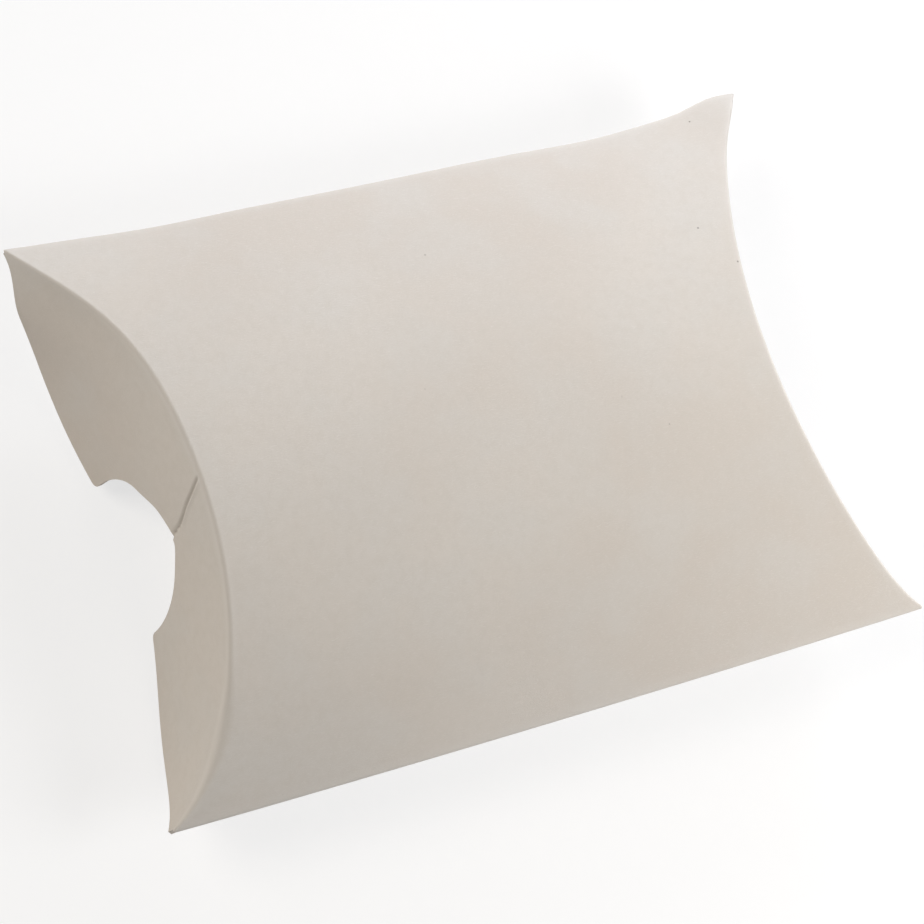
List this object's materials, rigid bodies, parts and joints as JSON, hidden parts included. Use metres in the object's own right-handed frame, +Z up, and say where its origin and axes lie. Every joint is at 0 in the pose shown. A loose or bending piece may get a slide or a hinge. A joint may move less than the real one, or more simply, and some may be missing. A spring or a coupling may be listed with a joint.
{
  "type": "pillow box",
  "caption": "Small pillow box of plain card: an arched sleeve with curved creases, thumb-notched outer end flaps and tucked inner flaps that swing open.",
  "frame": {"origin": "under the middle of the box, on the flat patch of the bottom panel that it rests on", "axes": "+X along the sleeve from the left end to the right end, +Y across it towards the glued side crease, +Z up through the crown of the top panel"},
  "size_m": [0.09, 0.0642, 0.0219],
  "materials": {
    "card": "uncoated natural off-white card, matt",
    "glue": "dried clear white glue"
  },
  "bodies": {
    "sleeve": {"top_panel": "card", "bottom_panel": "card", "glue_flap": "card", "glue_line": "glue"},
    "left_outer_flap": {"left_outer_flap": "card"},
    "right_outer_flap": {"right_outer_flap": "card"},
    "left_inner_flap": {"left_inner_flap": "card"},
    "right_inner_flap": {"right_inner_flap": "card"}
  },
  "joints": [
    {"name": "left_outer_flap_hinge", "type": "hinge", "parent": "sleeve", "child": "left_outer_flap", "pos_m": [-0.033, 0, 0.02143], "axis": [0, 1, 0], "range_deg": [0, 110]},
    {"name": "right_outer_flap_hinge", "type": "hinge", "parent": "sleeve", "child": "right_outer_flap", "pos_m": [0.033, 0, 0.02143], "axis": [0, -1, 0], "range_deg": [0, 110]},
    {"name": "left_inner_flap_hinge", "type": "hinge", "parent": "sleeve", "child": "left_inner_flap", "pos_m": [-0.033, 0, 0.00033], "axis": [0, -1, 0], "range_deg": [0, 99]},
    {"name": "right_inner_flap_hinge", "type": "hinge", "parent": "sleeve", "child": "right_inner_flap", "pos_m": [0.033, 0, 0.00033], "axis": [0, 1, 0], "range_deg": [0, 99]}
  ],
  "couplings": [
    {"joint": "left_inner_flap_hinge", "follows": "left_outer_flap_hinge", "ratio": 0.9},
    {"joint": "right_inner_flap_hinge", "follows": "right_outer_flap_hinge", "ratio": 0.9}
  ]
}
